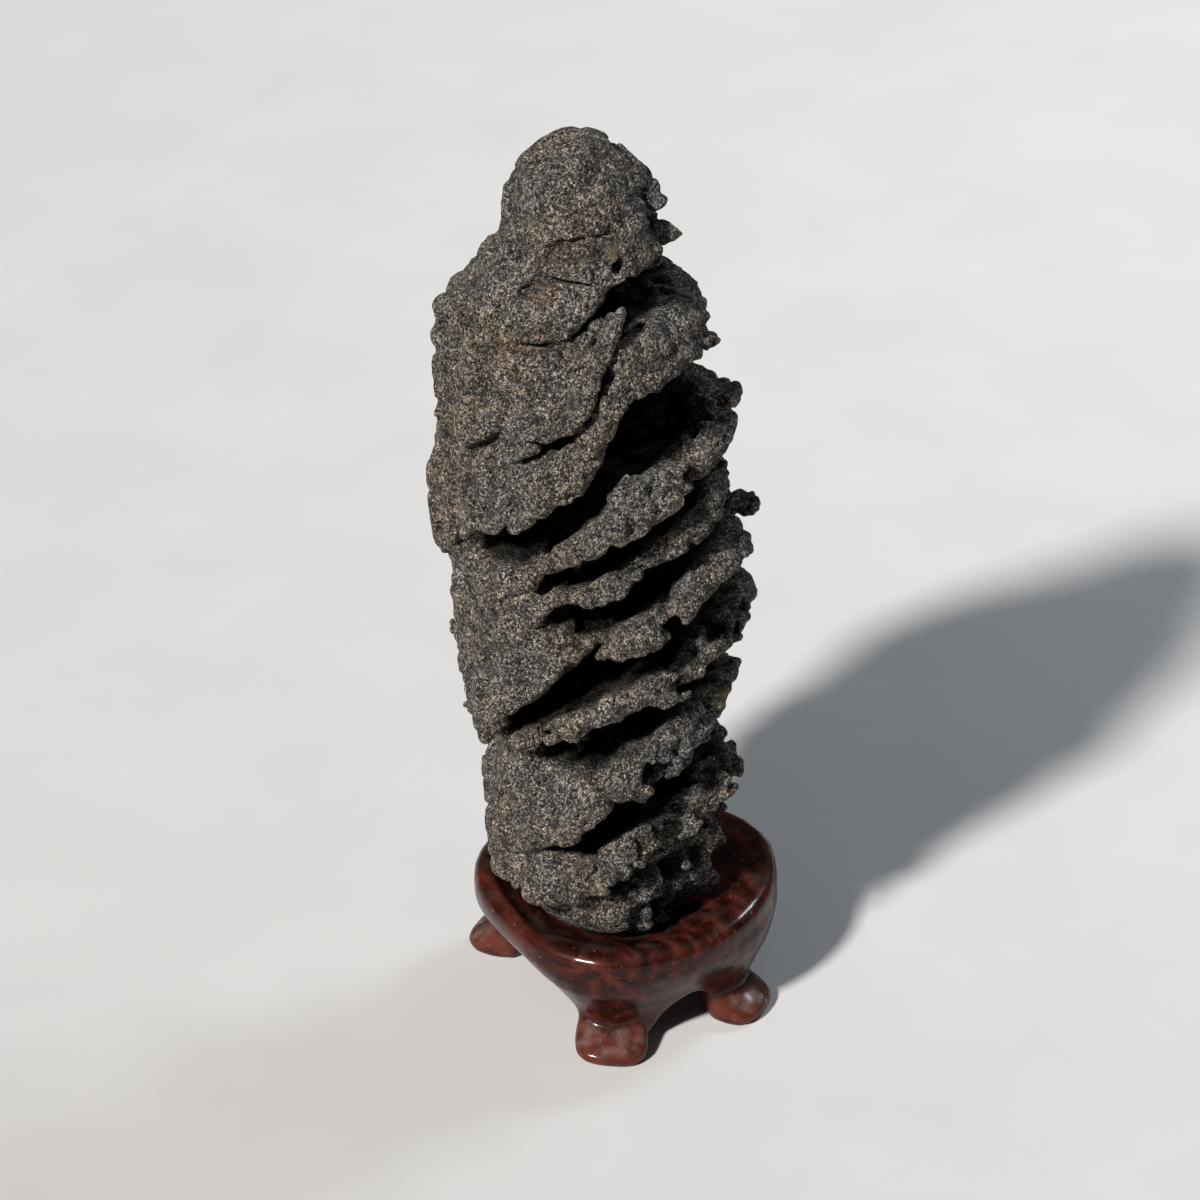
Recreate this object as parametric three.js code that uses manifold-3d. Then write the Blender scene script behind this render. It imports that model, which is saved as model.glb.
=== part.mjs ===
// A scholar's rock on its carved hardwood stand, in millimetres, +Z up.
// The origin is on the table, under the middle of the outline seen from above. X runs the short way across
// the stand's feet and Y the long way. The rock is modelled with its best face towards -Y, then turned on the
// stand.
import * as THREE from "three";
import { mergeVertices } from "three/addons/utils/BufferGeometryUtils.js";
import Module from "manifold-3d";

const wasm = await Module();
wasm.setup();

// Driving dimensions
const STAND_HEIGHT = 17;
const RIM_HALF_WIDTH = 19.8;
const RIM_LONG_END = 2.7;
const RIM_HALF_LENGTH = 20.4;
const RIM_SHIFT_X = 0.9;
const FOOT_SPAN_X = 21;
const FOOT_SPAN_Y = 31.3;
const SHORT_ARCH = { halfWidth: 6.6, height: 6.8, squareness: 1.4, shift: 1.6 };
const LONG_ARCH = { halfWidth: 10, height: 7.7, squareness: 3.2, shift: 0 };
const SEAT_DEPTH = 4.6;
const SEAT_GAP = 0.4;
const ROCK_TURN_DEG = -30;

// Mesh fineness
const ROCK_SIDES = 54;
const STAND_SIDES = 44;
const TOE_SIDES = 16;

// Finishes
const ROCK_COLOUR = 0x3b3733;
const WOOD_COLOUR = 0x4a1812;

const radians = THREE.MathUtils.degToRad;
const mix = THREE.MathUtils.lerp;
const smoothstep = THREE.MathUtils.smoothstep;

// A closed skin over a stack of rings with equal point counts, listed from the bottom up, each
// counterclockwise seen from above. A fan of triangles around each end ring's middle closes it.
function loft(rings) {
  const sides = rings[0].length;
  const middle = (ring) => ring.reduce((sum, p) => sum.add(p), new THREE.Vector3()).divideScalar(sides);
  const points = [...rings.flat(), middle(rings[0]), middle(rings.at(-1))];
  const bottom = rings.length * sides;
  const top = bottom + 1;
  const lastRing = (rings.length - 1) * sides;
  const index = [];
  for (let side = 0; side < sides; side++) {
    const next = (side + 1) % sides;
    for (let row = 0; row < lastRing; row += sides) {
      index.push(row + side, row + next, row + sides + next);
      index.push(row + side, row + sides + next, row + sides + side);
    }
    index.push(bottom, next, side);
    index.push(top, lastRing + side, lastRing + next);
  }
  return new THREE.BufferGeometry().setFromPoints(points).setIndex(index);
}

// The angles of a ring's points, in radians, counterclockwise from +X.
function ringAngles(sides) {
  return Array.from({ length: sides }, (_, side) => (2 * Math.PI * side) / sides);
}

// Repeatable lumpiness from -1 to 1 that changes smoothly over about one unit of each coordinate.
function lattice(i, j, k) {
  let bits = Math.imul(i, 374761393) ^ Math.imul(j, 668265263) ^ Math.imul(k, 1274126177);
  bits = Math.imul(bits ^ (bits >>> 13), 1103515245);
  return ((bits ^ (bits >>> 16)) >>> 0) / 2147483648 - 1;
}

function lumps(x, y, z) {
  const cell = [x, y, z].map(Math.floor);
  const [u, v, w] = [x, y, z].map((value, axis) => smoothstep(value - cell[axis], 0, 1));
  const corner = (i, j, k) => lattice(cell[0] + i, cell[1] + j, cell[2] + k);
  const along = (j, k) => mix(corner(0, j, k), corner(1, j, k), u);
  return mix(mix(along(0, 0), along(1, 0), v), mix(along(0, 1), along(1, 1), v), w);
}

// A closed geometry as a solid that can be cut.
function solid(geometry) {
  const bare = new THREE.BufferGeometry().setAttribute("position", geometry.attributes.position);
  const merged = mergeVertices(geometry.index ? bare.setIndex(geometry.index) : bare, 1e-4);
  const vertProperties = new Float32Array(merged.attributes.position.array);
  const triVerts = new Uint32Array(merged.index.array);
  return new wasm.Manifold(new wasm.Mesh({ numProp: 3, vertProperties, triVerts }));
}

// The stand

// Its outside is a stack of rounded rectangles, from the legs out to the rolled rim. Each step: its height,
// half sizes along X and Y, how square its corners are (2 is an ellipse) and how far its middle is shifted
// along X. The rim runs out further towards +X, where it is rounder: end is how much further, and endSquare
// how square it is there.
const RIM = {
  halfX: RIM_HALF_WIDTH, halfY: RIM_HALF_LENGTH, square: 2.5, shift: RIM_SHIFT_X,
  end: RIM_LONG_END, endSquare: 1.8,
};
const OUTSIDE_STEPS = [
  { height: 0, halfX: 12.8, halfY: 16.4, square: 4.8, shift: 0.3 },
  { height: 4.2, halfX: 13.2, halfY: 16.7, square: 4.8, shift: 0.3 },
  { height: 6.0, halfX: 14.0, halfY: 17.2, square: 4.7, shift: 0.4, end: 0.3 },
  { height: 8.2, halfX: 15.6, halfY: 18.1, square: 4.2, shift: 0.6, end: 1.0, endSquare: 3.4 },
  { height: 10.4, halfX: 17.6, halfY: 19.2, square: 3.5, shift: 0.7, end: 1.8, endSquare: 2.6 },
  { height: 12.6, halfX: 19.1, halfY: 20.1, square: 2.9, shift: 0.8, end: 2.4, endSquare: 2.1 },
  { ...RIM, height: 14.4 },
  { ...RIM, height: 15.8 },
  { ...RIM, height: 16.7, halfX: RIM_HALF_WIDTH - 0.8, halfY: RIM_HALF_LENGTH - 0.8 },
  { ...RIM, height: STAND_HEIGHT, halfX: RIM_HALF_WIDTH - 2, halfY: RIM_HALF_LENGTH - 2 },
];

function roundedReach(angle, halfX, halfY, square) {
  const across = Math.abs(Math.cos(angle) / halfX) ** square;
  const along = Math.abs(Math.sin(angle) / halfY) ** square;
  return (across + along) ** (-1 / square);
}

// The seat is a shallow bowl, carved to the rock's round underside and deepest in the middle.
const BOWL_RADIUS = 16.6;
const SEAT_FLOOR = STAND_HEIGHT - SEAT_DEPTH;
const BOWL_STEPS = [1.0, 0.82, 0.58, 0.3];
const BOWL_SQUARE = 2.5;

function bowlHeight(radius) {
  return SEAT_FLOOR + (SEAT_DEPTH - 0.6) * (radius / BOWL_RADIUS) ** 2;
}

function standBody() {
  const angles = ringAngles(STAND_SIDES);
  const outside = OUTSIDE_STEPS.map(({ height, halfX, halfY, square, shift, end = 0, endSquare = square }) =>
    angles.map((angle) => {
      const reach =
        Math.cos(angle) > 0
          ? roundedReach(angle, halfX + end, halfY, endSquare)
          : roundedReach(angle, halfX, halfY, square);
      return new THREE.Vector3(shift + reach * Math.cos(angle), reach * Math.sin(angle), height);
    }),
  );
  const inside = BOWL_STEPS.map((share) =>
    angles.map((angle) => {
      const reach = share * roundedReach(angle, BOWL_RADIUS, BOWL_RADIUS, BOWL_SQUARE);
      return new THREE.Vector3(reach * Math.cos(angle), reach * Math.sin(angle), bowlHeight(reach));
    }),
  );
  return loft([...outside, ...inside]);
}

// A toe is a tongue that kicks out from under a leg along the corner's diagonal, with a low upright edge and
// a sloping top. Each step: its height, how far out of the contact point it sits, and its half sizes across
// and along the diagonal.
const TOE_STEPS = [
  { height: 0, out: -0.5, across: 4.9, deep: 4.1 },
  { height: 1.5, out: -0.3, across: 5.2, deep: 4.3 },
  { height: 2.3, out: -1.1, across: 5.2, deep: 3.8 },
  { height: 3.3, out: -2.2, across: 5.0, deep: 3.0 },
  { height: 4.5, out: -3.4, across: 4.7, deep: 2.4 },
  { height: 6.2, out: -4.6, across: 4.0, deep: 2.0 },
];
const TOE_SQUARE = 2.8;

function toe(signX, signY) {
  const contact = new THREE.Vector2((signX * FOOT_SPAN_X) / 2, (signY * FOOT_SPAN_Y) / 2);
  const outward = contact.clone().normalize();
  const sideways = new THREE.Vector2(-outward.y, outward.x);
  const rings = TOE_STEPS.map(({ height, out, across, deep }) =>
    ringAngles(TOE_SIDES).map((angle) => {
      const reach = roundedReach(angle, deep, across, TOE_SQUARE);
      const place = contact.clone();
      place.addScaledVector(outward, out + reach * Math.cos(angle));
      place.addScaledVector(sideways, reach * Math.sin(angle));
      return new THREE.Vector3(place.x, place.y, height);
    }),
  );
  return loft(rings);
}

// An arch between two feet, drawn upright as half a superellipse and run right through the stand.
const ARCH_STEPS = 20;
const ARCH_LENGTH = 60;

function archCut({ halfWidth, height, squareness, shift }) {
  const power = 2 / squareness;
  const curve = Array.from({ length: ARCH_STEPS + 1 }, (_, step) => {
    const angle = (Math.PI * step) / ARCH_STEPS;
    const across = Math.sign(Math.cos(angle)) * Math.abs(Math.cos(angle)) ** power;
    return new THREE.Vector2(halfWidth * across, height * Math.sin(angle) ** power);
  });
  const floor = [new THREE.Vector2(-halfWidth, -1), new THREE.Vector2(halfWidth, -1)];
  const shape = new THREE.Shape([...curve, ...floor]);
  const cut = new THREE.ExtrudeGeometry(shape, { depth: ARCH_LENGTH, bevelEnabled: false });
  return cut.translate(shift, 0, -ARCH_LENGTH / 2).rotateX(Math.PI / 2);
}

function standGeometry() {
  const short = archCut(SHORT_ARCH);
  const long = archCut(LONG_ARCH).rotateZ(Math.PI / 2);
  const legs = solid(standBody()).subtract(solid(short)).subtract(solid(long));
  const toes = [-1, 1].flatMap((signX) => [-1, 1].map((signY) => solid(toe(signX, signY))));
  const carved = toes.reduce((sum, part) => sum.add(part), legs);
  const { vertProperties, triVerts } = carved.getMesh();
  return new THREE.BufferGeometry()
    .setAttribute("position", new THREE.BufferAttribute(vertProperties, 3))
    .setIndex(new THREE.BufferAttribute(triVerts, 1));
}

// The rock

// The rock is a pile of slanting plates. Each plate has a lip, its lower outer edge, on a sheet that climbs
// to the right: height is where the sheet meets the rock's axis, rise its slope towards +X and bend how much
// it levels off. Where a plate is broken across, its sheet climbs by step more around stepAt, over
// stepHalfWidth to each side. reach is how far the lip stands from the axis to the right, back, left and
// front. Under the lip a notch is eaten into the rock: gap is the share of the plate below that it takes,
// depth how far in it goes, and it opens between the angles from and to, in degrees, where 0 is right, 90
// back and -90 front.
const PLATES = [
  {
    height: 26.5, rise: 0.48, bend: -0.006,
    reach: [19.2, 17, 16.8, 17.2], gap: 0.4, depth: 4, from: -112, to: 150,
  },
  {
    height: 37.2, rise: 0.58, bend: 0.003,
    reach: [15.4, 17.5, 17.2, 17.8], gap: 0.5, depth: 7, from: -132, to: 95,
  },
  {
    height: 51.5, rise: 0.42, bend: 0.004,
    reach: [20, 21, 15, 17.4], gap: 0.42, depth: 9, from: -138, to: 172,
  },
  {
    height: 61, rise: 0.75, bend: 0.008,
    reach: [20.6, 23.5, 17.4, 19.2], gap: 0.6, depth: 11, from: -186, to: 120,
  },
  {
    height: 71.8, rise: 0.68, bend: 0.01,
    reach: [17.6, 24, 17.8, 18.4], gap: 0.55, depth: 10, from: -112, to: 165,
  },
  {
    height: 78.6, rise: 0.62, bend: 0.002,
    reach: [18, 24, 18.3, 19.6], gap: 0.58, depth: 9, from: -126, to: 130,
  },
  {
    height: 94.4, rise: 0.5, bend: 0.022, step: 11, stepAt: 2.2,
    reach: [15.4, 23, 19.4, 19.6], gap: 0.66, depth: 14, from: -172, to: 95,
  },
  {
    height: 103.4, rise: 0.4, bend: 0.02, step: 11, stepAt: 1.9,
    reach: [11.8, 19.5, 20.2, 18.4], gap: 0.36, depth: 4.5, from: -122, to: 170,
  },
  {
    height: 110.5, rise: 0, bend: 0, step: 9.5, stepAt: 2, stepHalfWidth: 5,
    reach: [12, 13.4, 17.9, 13.4], gap: 0.36, depth: 6, from: -108, to: 130,
  },
  {
    height: 118.4, rise: 0.34, bend: 0.01,
    reach: [10.6, 10.6, 9.8, 11.2], gap: 0.3, depth: 2.5, from: -50, to: 150,
  },
];
const PEAK = { height: 128.4, rise: 0, bend: 0.02, reach: [1.4, 1.3, 1.2, 1.3], gap: 0, depth: 0 };
const SOLE = { height: 16.2, rise: 0, bend: 0, reach: [13.2, 13.2, 12.8, 12.8], gap: 0, depth: 0 };
const STEP_HALF_WIDTH = 3.2;

// Small stubs that stick out of a lip: the plate's place in the list, the angle in degrees and the length.
const KNOBS = [
  { plate: 6, angle: -8, tall: 2.0 },
  { plate: 2, angle: 0, tall: 1.2 },
  { plate: 8, angle: 120, tall: 1.6 },
];
const KNOB_WIDTH_DEG = 9;

// The axis leans to the left as it climbs.
const AXIS_FOOT = { x: -0.4, height: 15 };
const AXIS_LEAN = -0.05;

// How rough the faces and the broken lips are.
const FACE_LUMPS = { size: 8, tall: 0.8 };
const LIP_LUMPS = { size: 4.2, tall: 1.2 };
const NOTCH_FADE_DEG = 26;
const RAGGED_LIP = { turns: 5, tall: 1.7 };
const WAVY_SHEET = { turns: 2.2, tall: 1.6 };
const UNEVEN_NOTCH = { turns: 4, share: 0.25 };

// A smooth walk around the rock that differs from plate to plate, from -1 to 1.
function wander(plate, angle, turns, kind) {
  return lumps(turns * Math.cos(angle), turns * Math.sin(angle), 0.37 * plate.height + kind);
}

// An oval through the four reaches, at one angle.
function ovalReach([right, back, left, front], angle) {
  const across = Math.cos(angle) / (Math.cos(angle) > 0 ? right : left);
  const along = Math.sin(angle) / (Math.sin(angle) > 0 ? back : front);
  return 1 / Math.hypot(across, along);
}

// The turn from one angle to another, in degrees from 0 to 180.
function angleBetween(one, other) {
  return Math.abs(THREE.MathUtils.euclideanModulo(one - other + 180, 360) - 180);
}

// How open a plate's notch is at one angle: 0 where the rock is whole, 1 where the notch has its full depth.
function openness({ from, to, depth }, angle) {
  if (!depth) return 0;
  const away = angleBetween(THREE.MathUtils.radToDeg(angle), (from + to) / 2);
  return 1 - smoothstep(away, (to - from) / 2 - NOTCH_FADE_DEG, (to - from) / 2);
}

// How far the stubs push out a plate's lip at one angle.
function knobReach(plate, angle) {
  const pushes = KNOBS.filter((knob) => PLATES[knob.plate] === plate).map((knob) => {
    const away = angleBetween(THREE.MathUtils.radToDeg(angle), knob.angle) / KNOB_WIDTH_DEG;
    return knob.tall * Math.exp(-away * away);
  });
  return pushes.reduce((sum, push) => sum + push, 0);
}

// The height of a plate's sheet, x to the right of the axis.
function sheetHeight({ height, rise, bend, step = 0, stepAt = 0, stepHalfWidth = STEP_HALF_WIDTH }, x) {
  const climbed = smoothstep(x, stepAt - stepHalfWidth, stepAt + stepHalfWidth) - 0.5;
  return height + rise * x - bend * x * x + step * climbed;
}

// One point of the rock's skin: share of the way from the lower plate's sheet to the upper one's.
function rockPoint(lower, upper, share, angle, radius) {
  const x = radius * Math.cos(angle);
  const wave = (plate) => (plate.depth ? WAVY_SHEET.tall * wander(plate, angle, WAVY_SHEET.turns, 11.5) : 0);
  const sheet = (plate) => sheetHeight(plate, x) + wave(plate);
  const axisX = AXIS_FOOT.x + AXIS_LEAN * (mix(lower.height, upper.height, share) - AXIS_FOOT.height);
  return new THREE.Vector3(axisX + x, radius * Math.sin(angle), mix(sheet(lower), sheet(upper), share));
}

// The rings of one plate, from its lip up to the roof of the notch under the next plate.
const PLATE_STEPS = [
  { name: "lip", share: () => 0, along: 0, taper: 0.2, notch: 0, rough: 1 },
  { name: "brow", share: () => 0.12, along: 0.08, taper: -0.2, notch: 0, rough: 0.8 },
  { name: "face", share: (gap) => 0.5 * (1 - gap), along: 0.35, taper: 0.5, notch: 0, rough: 0.3 },
  { name: "shoulder", share: (gap) => 0.94 - gap, along: 0.7, taper: 1.6, notch: 0, rough: 0.2 },
  { name: "floor", share: (gap) => 1 - 0.84 * gap, along: 0.9, taper: 1.0, notch: 1, rough: 0.4 },
  { name: "roof", share: (gap) => 0.985 - 0.12 * gap, along: 1, taper: 0.2, notch: 0.85, rough: 0.6 },
];
const CLOSED_GAP = 0.06;

// The rock swells out at the back left, most at the waist: it rises from low to full height between the first
// two heights and fades again between the last two.
const SWELL = { angle: 122, widthDeg: 34, tall: 6, heights: [30, 52, 88, 112] };

function swellReach({ height }, angle) {
  const away = angleBetween(THREE.MathUtils.radToDeg(angle), SWELL.angle) / SWELL.widthDeg;
  const [start, full, fading, end] = SWELL.heights;
  const share = smoothstep(height, start, full) - smoothstep(height, fading, end);
  return SWELL.tall * share * Math.exp(-away * away);
}

function raggedReach(plate, angle) {
  if (!plate.depth) return ovalReach(plate.reach, angle);
  const worn = mix(0.4, 1, openness(plate, angle));
  const ragged = RAGGED_LIP.tall * wander(plate, angle, RAGGED_LIP.turns, 3.5) * worn;
  return ovalReach(plate.reach, angle) + ragged + knobReach(plate, angle) + swellReach(plate, angle);
}

// Where the plate above is this much narrower, the rock steps in: close above the lip to the right, and just
// under the plate above to the left, where it keeps a full shoulder.
const STEP_IN = { over: [3, 8], rightPower: 0.5, leftPower: 1.35 };

function plateRings(lower, upper) {
  return PLATE_STEPS.map(({ share, along, taper, notch, rough }) =>
    ringAngles(ROCK_SIDES).map((angle) => {
      const open = openness(upper, angle);
      const uneven = 1 + UNEVEN_NOTCH.share * wander(upper, angle, UNEVEN_NOTCH.turns, 7.5);
      const gap = mix(CLOSED_GAP, Math.max(upper.gap, CLOSED_GAP), open * Math.min(1, uneven));
      const [below, above] = [lower, upper].map((plate) => raggedReach(plate, angle));
      const sidePower = mix(STEP_IN.rightPower, STEP_IN.leftPower, smoothstep(-Math.cos(angle), -0.3, 0.6));
      const power = mix(1, sidePower, smoothstep(below - above, ...STEP_IN.over));
      const whole = mix(below, above, along ** power);
      const flat = rockPoint(lower, upper, share(gap), angle, whole);
      const lumpsOf = ({ size, tall }) => tall * lumps(flat.x / size, flat.y / size, flat.z / size);
      const rugged = lumpsOf(FACE_LUMPS) + rough * lumpsOf(LIP_LUMPS) * mix(0.4, 1, open);
      const radius = whole - taper * mix(0.25, 1, open) - notch * upper.depth * open * uneven + rugged;
      return rockPoint(lower, upper, share(gap), angle, radius);
    }),
  );
}

// The head is a dome from the top plate's lip to the peak. It is a little straighter to the left: the
// straightness is 0 for a round dome and 1 for a cone.
const CROWN_SHARES = [0.14, 0.36, 0.58, 0.78, 0.94];
const CROWN_LUMPS = { size: 5, tall: 1.3 };
const CROWN_STRAIGHT = { right: 0.05, left: 0.2 };

function crownRings(lower, peak) {
  return CROWN_SHARES.map((share) =>
    ringAngles(ROCK_SIDES).map((angle) => {
      const narrow = ovalReach(peak.reach, angle);
      const foot = mix(raggedReach(lower, angle), ovalReach(lower.reach, angle), smoothstep(share, 0, 0.5));
      const straight = mix(CROWN_STRAIGHT.right, CROWN_STRAIGHT.left, (1 - Math.cos(angle)) / 2);
      const wide = mix(narrow, foot, mix(Math.sqrt(1 - share ** 2), 1 - share, straight));
      const flat = rockPoint(lower, peak, share, angle, wide).divideScalar(CROWN_LUMPS.size);
      const rugged = CROWN_LUMPS.tall * lumps(flat.x, flat.y, flat.z);
      return rockPoint(lower, peak, share, angle, wide + rugged * Math.min(1, wide / 6));
    }),
  );
}

// The underside rests in the bowl of the seat, a small gap above it.
const SOLE_SHARES = [0.3, 0.65, 0.92];

function soleRings() {
  const axisX = AXIS_FOOT.x;
  return SOLE_SHARES.map((share) =>
    ringAngles(ROCK_SIDES).map((angle) => {
      const radius = share * ovalReach(SOLE.reach, angle);
      const x = axisX + radius * Math.cos(angle);
      const y = radius * Math.sin(angle);
      return new THREE.Vector3(x, y, bowlHeight(Math.hypot(x, y)) + SEAT_GAP);
    }),
  );
}

function rockGeometry() {
  const stack = [SOLE, ...PLATES];
  const plates = stack.slice(0, -1).flatMap((plate, k) => plateRings(plate, stack[k + 1]));
  const top = stack.at(-1);
  const topLip = plateRings(top, PEAK).slice(0, 1);
  return loft([...soleRings(), ...plates, ...topLip, ...crownRings(top, PEAK)]);
}

// The assembly

function named(name, geometry, colour, roughness) {
  const material = new THREE.MeshStandardMaterial({ color: colour, roughness, metalness: 0 });
  const mesh = new THREE.Mesh(geometry, material);
  mesh.name = name;
  return mesh;
}

const stand = named("stand", standGeometry(), WOOD_COLOUR, 0.3);
const rock = named("rock", rockGeometry(), ROCK_COLOUR, 0.95);

const turnedRock = new THREE.Group();
turnedRock.rotation.z = radians(ROCK_TURN_DEG);
turnedRock.add(rock);

const scholarsRock = new THREE.Group();
scholarsRock.add(stand, turnedRock);

// The origin goes under the middle of the whole outline seen from above.
const middle = new THREE.Box3().setFromObject(scholarsRock, true).getCenter(new THREE.Vector3());
scholarsRock.position.set(-middle.x, -middle.y, 0);

export default scholarsRock;
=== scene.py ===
# %% [markdown]
# # A scholar's rock on its carved stand
#
# A scholar's rock is a small natural stone that is admired like a mountain. This one is a dark, leafy
# stone, about as tall as a hand, with slanting plates and black hollows between them. It sits in the bowl
# of a little rosewood stand with four kicked-out feet.
#
# The lesson dresses two plain solids: the rock and the stand. Each is turned into a grid of distances,
# carved there like a sculptor would, and skinned again with a fine mesh. The finishes are built from
# shader nodes.

# %% Load the plain solids
import itertools
import math

import bpy
import numpy as np
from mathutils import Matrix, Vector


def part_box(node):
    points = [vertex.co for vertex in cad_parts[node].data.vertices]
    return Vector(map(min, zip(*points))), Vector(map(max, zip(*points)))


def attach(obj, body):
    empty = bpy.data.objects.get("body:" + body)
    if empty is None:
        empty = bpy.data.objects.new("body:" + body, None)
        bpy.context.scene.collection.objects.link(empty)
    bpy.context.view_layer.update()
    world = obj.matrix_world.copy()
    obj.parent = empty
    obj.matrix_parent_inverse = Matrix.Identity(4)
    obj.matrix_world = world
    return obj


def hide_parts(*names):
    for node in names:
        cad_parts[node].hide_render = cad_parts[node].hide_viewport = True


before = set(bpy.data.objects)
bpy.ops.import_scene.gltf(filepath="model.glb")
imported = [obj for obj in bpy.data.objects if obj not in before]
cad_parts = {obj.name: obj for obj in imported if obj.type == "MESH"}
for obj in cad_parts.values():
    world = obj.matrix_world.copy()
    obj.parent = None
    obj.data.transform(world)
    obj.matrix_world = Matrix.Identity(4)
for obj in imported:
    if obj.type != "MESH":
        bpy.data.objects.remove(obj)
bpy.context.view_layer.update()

import openvdb
from mathutils import Vector

MM = 0.001
stand_low, stand_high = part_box("stand")

# %% [markdown]
# ## The camera
#
# The stone is seen from above, over one corner of its stand. A long lens from half a metre away keeps its
# edges almost parallel. The angle is given the way a turntable gives it: a turn around the upright axis
# and a tilt down. The camera could be aimed with a Track To constraint, but a rotation worked out once
# has nothing to go wrong.

# %% Place the camera
RIM_SHIFT = 2.25 * MM
VIEW_TURN = math.radians(-30.2)
VIEW_TILT = math.radians(31)
VIEW_DISTANCE = 560 * MM
AIM_FROM_STAND = Vector((-2.75, 0.65, 61.8)) * MM
FOCAL_LENGTH_IN_PIXELS = 4190
IMAGE_WIDTH_IN_PIXELS = 1200
SENSOR_WIDTH = 36
NEAREST_SEEN = 10 * MM

stand_middle = (stand_low + stand_high) / 2 - Vector((RIM_SHIFT, 0, 0))
stand_middle.z = 0
aim = stand_middle + AIM_FROM_STAND
towards_camera = Vector((
    math.sin(VIEW_TURN) * math.cos(VIEW_TILT),
    -math.cos(VIEW_TURN) * math.cos(VIEW_TILT),
    math.sin(VIEW_TILT),
))

lens = bpy.data.cameras.new("camera")
lens.sensor_width = SENSOR_WIDTH
lens.lens = FOCAL_LENGTH_IN_PIXELS / IMAGE_WIDTH_IN_PIXELS * SENSOR_WIDTH
lens.clip_start = NEAREST_SEEN
camera = bpy.data.objects.new("camera", lens)
camera.location = aim + towards_camera * VIEW_DISTANCE
camera.rotation_euler = towards_camera.to_track_quat("Z", "Y").to_euler()
bpy.context.scene.collection.objects.link(camera)
bpy.context.scene.camera = camera
print("Lens:", round(lens.lens, 1), "mm, at", tuple(round(value, 3) for value in camera.location))

# %% [markdown]
# ## From a solid to distances and back
#
# A sculptor works on a block. Here the block is a grid of small cubes, and each cube knows how far it is
# from the surface: less than nothing inside, more outside. Carving is then simple sums. Adding a bump
# takes its height off the distance, and cutting a hole keeps the larger of two distances. A Displace
# modifier could only push points along their normals, so it can't open a cave or leave an overhang, and
# these can.

# %% Read a solid as distances
def plain_mesh(node):
    """A node's corners in mm and its triangles."""
    mesh = node.data
    mesh.calc_loop_triangles()
    corners = np.empty(len(mesh.vertices) * 3, np.float32)
    mesh.vertices.foreach_get("co", corners)
    faces = np.empty(len(mesh.loop_triangles) * 3, np.int32)
    mesh.loop_triangles.foreach_get("vertices", faces)
    return corners.reshape(-1, 3) / MM, faces.reshape(-1, 3)


def distance_grid(corners, triangles, cube, reach):
    """The distance to a closed surface at each cube of a grid, in mm, and the grid's first corner."""
    grid = openvdb.FloatGrid.createLevelSetFromPolygons(
        corners.astype(np.float64),
        triangles=triangles.astype(np.uint32),
        transform=openvdb.createLinearTransform(voxelSize=cube),
        halfWidth=reach / cube,
    )
    first, last = grid.evalActiveVoxelBoundingBox()
    distance = np.empty(np.subtract(last, first) + 1, np.float32)
    grid.copyToArray(distance, ijk=first)
    return distance, np.array(first)

# %% Soften a grid and read it anywhere
def soften(grid, cubes):
    """Each cube becomes the average of its neighbours out to that many cubes along each axis."""
    for axis in range(3):
        ends = [(0, 0)] * 3
        ends[axis] = (cubes + 1, cubes)
        total = np.cumsum(np.pad(grid, ends, mode="edge"), axis=axis, dtype=np.float64)
        width = 2 * cubes + 1
        upper = np.take(total, range(width, total.shape[axis]), axis=axis)
        lower = np.take(total, range(total.shape[axis] - width), axis=axis)
        grid = ((upper - lower) / width).astype(np.float32)
    return grid


def sample(grid, first, cube, places):
    """Reads a grid at places in mm, blending the eight cubes around each."""
    scaled = np.clip(places / cube - first, 0, np.array(grid.shape) - 1.001)
    whole = scaled.astype(np.int32)
    part = scaled - whole
    total = 0
    for corner in itertools.product((0, 1), repeat=3):
        weight = np.prod(np.where(corner, part, 1 - part), axis=1)
        total = total + weight * grid[tuple((whole + corner).T)]
    return total

# %% Skin a grid again
def main_body(points, quads):
    """Keeps the largest connected skin and drops loose crumbs and sealed bubbles."""
    label = np.arange(len(points))
    while True:
        lowest = label.copy()
        np.minimum.at(lowest, quads, label[quads].min(axis=1, keepdims=True))
        lowest = lowest[lowest]
        if np.array_equal(lowest, label):
            break
        label = lowest
    kept = label == np.bincount(label).argmax()
    renumber = np.cumsum(kept) - 1
    return points[kept], renumber[quads[kept[quads[:, 0]]]]


def skin(distance, first, cube, height=0.0):
    """The surface where the distance is height, as points in mm and quads that face out."""
    grid = openvdb.FloatGrid(float(distance.max()))
    grid.transform = openvdb.createLinearTransform(voxelSize=cube)
    grid.gridClass = openvdb.GridClass.LEVEL_SET
    grid.copyFromArray(distance, ijk=tuple(int(value) for value in first))
    points, _, quads = grid.convertToPolygons(isovalue=height, adaptivity=0.0)
    points, quads = main_body(points, quads.astype(np.int64))
    a, b, c = (points[quads[:, corner]] for corner in range(3))
    if np.einsum("ij,ij->", a, np.cross(b, c)) < 0:
        quads = quads[:, ::-1]
    return points, quads


def halved(quads):
    """Each quad as two triangles."""
    return np.concatenate([quads[:, [0, 1, 2]], quads[:, [0, 2, 3]]])

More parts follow.
